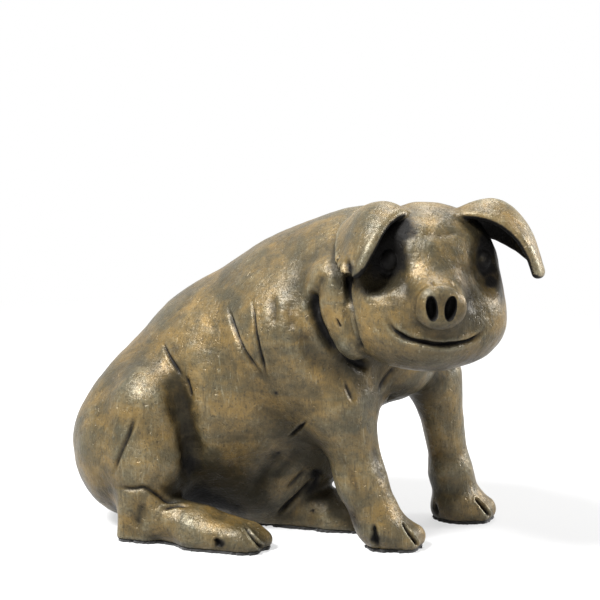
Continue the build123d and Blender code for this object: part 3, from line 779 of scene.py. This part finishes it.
class Nodes:
    """A short way to write the node tree of a material or a world."""

    def __init__(self, owner):
        owner.use_nodes = True
        self.owner = owner
        self.tree = owner.node_tree
        self.tree.nodes.clear()

    def add(self, kind, inputs=None, **settings):
        node = self.tree.nodes.new(kind)
        for key, value in settings.items():
            setattr(node, key, value)
        for key, value in (inputs or {}).items():
            self.set(node.inputs[key], value)
        return node

    def set(self, socket, value):
        if isinstance(value, bpy.types.NodeSocket):
            self.tree.links.new(value, socket)
        else:
            socket.default_value = value

    def math(self, operation, a, b, clamp=False):
        node = self.add("ShaderNodeMath", {0: a, 1: b}, operation=operation, use_clamp=clamp)
        return node.outputs[0]

    def plus(self, a, b):
        return self.math("ADD", a, b)

    def minus(self, a, b):
        return self.math("SUBTRACT", a, b)

    def times(self, a, b):
        return self.math("MULTIPLY", a, b)

    def most(self, a, b):
        return self.math("MAXIMUM", a, b)

    def mix(self, factor, a, b):
        node = self.add("ShaderNodeMix", data_type="RGBA")
        for place, value in (0, factor), (6, a), (7, b):
            self.set(node.inputs[place], value)
        return node.outputs[2]

    def place(self):
        return self.add("ShaderNodeTexCoord").outputs["Object"]

    def noise(self, scale, detail, rough, stretch=None, turn=(0, 0, 0), warp=0.0):
        at = self.place()
        if stretch:
            settings = {"Vector": at, "Rotation": turn, "Scale": stretch}
            at = self.add("ShaderNodeMapping", settings).outputs[0]
        settings = {"Scale": scale, "Detail": detail, "Roughness": rough, "Distortion": warp}
        return self.add("ShaderNodeTexNoise", {"Vector": at, **settings}).outputs["Fac"]

    def steps(self, value, low, high):
        settings = {"Value": value, "From Min": low, "From Max": high}
        return self.add("ShaderNodeMapRange", settings, interpolation_type="SMOOTHSTEP").outputs[0]

    def value(self, name):
        kind = {"attribute_type": "GEOMETRY", "attribute_name": name}
        return self.add("ShaderNodeAttribute", **kind).outputs["Fac"]

    def direct(self):
        """1 for what the camera sees by itself or through a reflection, 0 for bounced light."""
        path = self.add("ShaderNodeLightPath").outputs
        mirrored = self.most(path["Is Glossy Ray"], path["Is Transmission Ray"])
        return self.most(path["Is Camera Ray"], mirrored)

    def bump(self, strength, distance, height):
        settings = {"Strength": strength, "Distance": distance, "Height": height}
        return self.add("ShaderNodeBump", settings).outputs[0]

    def surface(self, **settings):
        """A principled shader, whose inputs are named with underscores."""
        inputs = {key.replace("_", " "): value for key, value in settings.items()}
        return self.finish(self.add("ShaderNodeBsdfPrincipled", inputs).outputs[0])

    def finish(self, shader, kind="ShaderNodeOutputMaterial"):
        self.set(self.add(kind).inputs["Surface"], shader)
        return self.owner


def new_material(name):
    return Nodes(bpy.data.materials.new(name))


OCHRE, BROWN, GREY = (0.222, 0.136, 0.034, 1), (0.066, 0.049, 0.018, 1), (0.076, 0.079, 0.056, 1)
SILVER, UMBER = (0.38, 0.36, 0.25, 1), (0.020, 0.018, 0.012, 1)
# The two tones of painted shade, a dark brown and a near black
PAINTED_SHADE_TONE, RECESS_SHADE_BLACK = (0.016, 0.014, 0.009, 1), (0.005, 0.0045, 0.004, 1)


def bronze():
    n = new_material("bronze_patina")
    recess_shade, crest, painted_shade = n.value("recess_shade"), n.value("crest"), n.value("painted_shade")
    clouds = n.steps(n.noise(55, 4, 0.6, warp=0.6), 0.30, 0.72)
    blotch = n.steps(n.noise(150, 5, 0.65, warp=0.5), 0.34, 0.72)
    grain = n.noise(900, 3, 0.65)
    strokes = n.noise(260, 4, 0.6, stretch=(1.0, 0.28, 1.0), turn=(0.6, 0.2, 0.5), warp=0.3)
    sweeps = n.noise(150, 3, 0.55, stretch=(1.0, 0.22, 0.8), turn=(-0.5, 0.9, 0.2), warp=0.5)
    speck = n.steps(n.noise(1500, 2, 0.7), 0.56, 0.70)
    hairs = n.noise(1000, 4, 0.65, stretch=(1.0, 0.7, 0.12), turn=(0.5, 0.35, 0.3), warp=1.4)
    pepper = n.steps(n.noise(1300, 2, 0.5), 0.58, 0.68)
    pits = n.steps(n.noise(420, 2, 0.5), 0.30, 0.36)

    colour = n.mix(clouds, BROWN, OCHRE)
    colour = n.mix(n.times(blotch, 0.50), colour, GREY)
    colour = n.mix(n.times(n.steps(strokes, 0.42, 0.66), 0.50), colour, BROWN)
    colour = n.mix(n.times(n.steps(sweeps, 0.50, 0.66), 0.45), colour, OCHRE)
    # Rubbed wear with a painted highlight on the crests, in pale silver
    rubbed = n.steps(n.plus(n.times(grain, 0.6), n.times(strokes, 0.4)), 0.30, 0.75)
    wear_and_highlight = n.math("MULTIPLY", crest, rubbed, clamp=True)
    colour = n.mix(n.times(wear_and_highlight, 0.85), colour, SILVER)
    colour = n.mix(n.times(speck, 0.10), colour, SILVER)
    colour = n.mix(n.times(n.steps(hairs, 0.56, 0.72), 0.30), colour, SILVER)
    colour = n.mix(n.times(n.steps(hairs, 0.46, 0.32), 0.45), colour, UMBER)
    colour = n.mix(n.times(pepper, 0.45), colour, UMBER)
    # Painted shade where the form is closed in or looks down
    shade = n.steps(n.plus(painted_shade, n.times(n.minus(blotch, 0.5), 0.16)), 0.06, 0.70)
    colour = n.mix(n.times(shade, 0.92), colour, PAINTED_SHADE_TONE)
    # Painted shade, near black, in the creases, hollows, patches, ear insides and nostrils
    recess_shade_mask = n.steps(n.plus(recess_shade, n.times(n.minus(grain, 0.5), 0.5)), 0.10, 0.85)
    colour = n.mix(recess_shade_mask, colour, RECESS_SHADE_BLACK)

    height = n.plus(n.times(grain, 0.22), n.plus(n.times(strokes, 0.9), n.times(blotch, 0.25)))
    height = n.plus(height, n.plus(n.times(sweeps, 0.8), n.times(hairs, 0.5)))
    height = n.plus(height, n.times(pits, 0.5))
    return n.surface(
        Base_Color=colour,
        # Metallic and specular are lowered where shade is painted
        Metallic=n.minus(0.34, n.times(n.most(recess_shade_mask, n.times(shade, 0.7)), 0.30)),
        Roughness=n.plus(n.times(grain, 0.14), n.plus(0.31, n.times(recess_shade_mask, 0.22))),
        Specular_IOR_Level=n.minus(0.56, n.times(n.most(recess_shade_mask, shade), 0.45)),
        Normal=n.bump(0.6, 0.0006, height),
    )


def felt():
    n = new_material("felt_black")
    nap = n.noise(2600, 4, 0.7)
    tuft = n.noise(600, 3, 0.6)
    return n.surface(
        Base_Color=n.mix(nap, (0.006, 0.006, 0.006, 1), (0.030, 0.028, 0.026, 1)),
        Roughness=0.95,
        Sheen_Weight=0.3,
        Sheen_Roughness=0.6,
        Normal=n.bump(0.8, 0.0003, n.plus(nap, tuft)),
    )


def pin_brass():
    n = new_material("pin_brass")
    drawn = n.noise(700, 3, 0.6, stretch=(1, 1, 0.1))
    return n.surface(
        Base_Color=n.mix(drawn, (0.52, 0.37, 0.14, 1), (0.70, 0.52, 0.24, 1)),
        Metallic=1.0,
        Roughness=n.plus(0.22, n.times(drawn, 0.2)),
        Normal=n.bump(0.2, 0.0001, drawn),
    )


def white_ground():
    """A white ground, of which the lit part, with the shadows on it, shows most near the feet."""
    n = new_material("ground")
    plain = n.add("ShaderNodeBsdfDiffuse", {"Color": (0.82, 0.82, 0.82, 1), "Roughness": 1.0})
    glow = n.add("ShaderNodeEmission", {"Color": (1, 1, 1, 1), "Strength": 1.0})
    away = n.add("ShaderNodeVectorMath", {0: n.place()}, operation="LENGTH").outputs["Value"]
    veil = n.plus(0.62, n.times(n.steps(away, 0.08, 0.42), 0.38))
    shaders = {0: n.times(n.direct(), veil), 1: plain.outputs[0], 2: glow.outputs[0]}
    return n.finish(n.add("ShaderNodeMixShader", shaders).outputs[0])


BRONZE, FELT, BRASS = bronze(), felt(), pin_brass()

for name, obj in castings.items():
    obj.data.materials.append(BRONZE)
    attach(obj, "root")
    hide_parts(*((name, "core_plugs") if name == "torso" else (name,)))


# Felt pads with a ragged edge and loose fibres

PAD_SLICE, PAD_INSET, PAD_FRAY = 1.8, 0.35, 0.45
PAD_STEP, PAD_MARGIN = 0.45, 5
FIBRE_SHARE, FIBRE_RADIUS, FIBRE_ROOT = 0.45, 0.06, 0.3
FIBRE_LOW, FIBRE_HIGH = 0.05, 1.3
FIBRE_FACES = np.array(((0, 2, 1), (0, 1, 3), (1, 2, 3), (2, 0, 3)))


def pad_field(index, clear):
    """A pad under one casting, which keeps clear of another one if there is one."""
    def field(P):
        flat = P * np.float32((1, 1, 0)) + np.float32((0, 0, PAD_SLICE))
        d = parts(flat)
        fray = PAD_FRAY * np.float32(noise(P * (1, 1, 0.2), 0.9, 3 + index))
        out = d[index] + PAD_INSET + fray
        if clear:
            out = np.maximum(out, 0.2 - d[NAMES.index(clear)])
        return np.maximum(out, np.abs(P[:, 2] - SOLE / 2) - SOLE / 2)

    return field


def fibre(start, out):
    """A thin spike that leaves the rim of a pad near the outward way."""
    out = out * (1, 1, 0) + chance.normal(0, 0.5, 3) * (1, 1, 0.5)
    out /= np.linalg.norm(out) + 1e-9
    side = np.cross(out, (0, 0, 1.0))
    lift = np.cross(side, out)
    root = start - FIBRE_ROOT * out
    ring = [root + FIBRE_RADIUS * (side * cos(a) + lift * sin(a)) for a in (0, 2.1, 4.2)]
    tip = root + out * (0.5 + 0.6 * chance.random())
    tip[2] = min(max(tip[2], FIBRE_LOW), FIBRE_HIGH)
    return np.array(ring + [tip])


PADS = {
    "felt_seat": ("torso", None),
    "felt_foreleg_right": ("foreleg_right", None),
    "felt_foreleg_left": ("foreleg_left", None),
    "felt_hind_right": ("hind_foot_right", "torso"),
    "felt_hind_left": ("hind_foot_left", "torso"),
}
chance = np.random.default_rng(7)
for name, (above, clear) in PADS.items():
    low, high = (np.array(v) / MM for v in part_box(name))
    low[:2] -= PAD_MARGIN
    high[:2] += PAD_MARGIN
    field = pad_field(NAMES.index(above), clear)
    pad, faces = nets(field, (*low[:2], -0.9), (*high[:2], 2.0), PAD_STEP)
    pad[:, 2] = np.clip(pad[:, 2], 0, SOLE)
    rim = np.where(np.abs(pad[:, 2] - SOLE / 2) < 0.4 * SOLE)[0]
    _, way = slope(field, np.float32(pad[rim]))
    verts, count = [pad], len(pad)
    faces = faces.tolist()
    for start, out in zip(pad[rim], way):
        if chance.random() > FIBRE_SHARE:
            continue
        verts.append(fibre(start, out))
        faces += (FIBRE_FACES + count).tolist()
        count += 4
    verts = np.concatenate(verts)
    verts[:, 2] = np.maximum(verts[:, 2], 0)
    obj = mesh_object("pad_" + name, verts, faces)
    obj.data.materials.append(FELT)
    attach(obj, "root")
    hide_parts(name)

for name in ("neck_pins", "foreleg_pins", "foot_pins"):
    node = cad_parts[name]
    if not node.material_slots:
        node.data.materials.append(BRASS)
    for s in node.material_slots:
        s.material = BRASS


# Floor, light and camera

bpy.ops.mesh.primitive_plane_add(size=12, location=(0, 0, 0))
floor = bpy.context.object
floor.name = "floor"
floor.data.materials.append(white_ground())

world = bpy.data.worlds.new("world")
bpy.context.scene.world = world
BOUNCED, SEEN = 0.27, 1.0
n = Nodes(world)
lit = n.add("ShaderNodeMapRange", {"Value": n.direct(), "To Min": BOUNCED, "To Max": SEEN})
sky = n.add("ShaderNodeBackground", {"Color": (1, 1, 1, 1), "Strength": lit.outputs[0]})
n.finish(sky.outputs[0], "ShaderNodeOutputWorld")


LIT_AT = Vector((0.0, -0.03, 0.055))


def lamp(name, right, up, back, size, power):
    """An area light placed by the camera's own directions, in metres from the pig's middle."""
    data = bpy.data.lights.new(name, "AREA")
    data.shape = "DISK"
    data.size = size
    data.energy = power
    at = LIT_AT + Vector(RIGHT * right + np.array((0, 0, up)) + BACK * (1, 1, 0) * back)
    aim = (LIT_AT - at).to_track_quat("-Z", "Y").to_matrix().to_4x4()
    obj = bpy.data.objects.new(name, data)
    obj.matrix_world = Matrix.Translation(at) @ aim
    bpy.context.scene.collection.objects.link(obj)


lamp("key", -0.45, 0.75, 0.35, 0.30, 21.0)
lamp("rim", 0.75, 0.30, -0.15, 0.30, 8.0)
lamp("top", 0.10, 0.80, -0.35, 0.40, 6.0)

SENSOR = 36.0
lens = bpy.data.cameras.new("camera")
lens.sensor_width = SENSOR
lens.lens = FOCAL / PICTURE * SENSOR
lens.clip_start = 0.01
lens.clip_end = 50.0
camera = bpy.data.objects.new("camera", lens)
place = np.eye(4)
place[:3] = np.stack([RIGHT, UP, BACK, EYE * MM], 1)
camera.matrix_world = Matrix(place.tolist())
bpy.context.scene.collection.objects.link(camera)
bpy.context.scene.camera = camera
bpy.context.scene.view_settings.view_transform = "Standard"

bpy.context.view_layer.update()
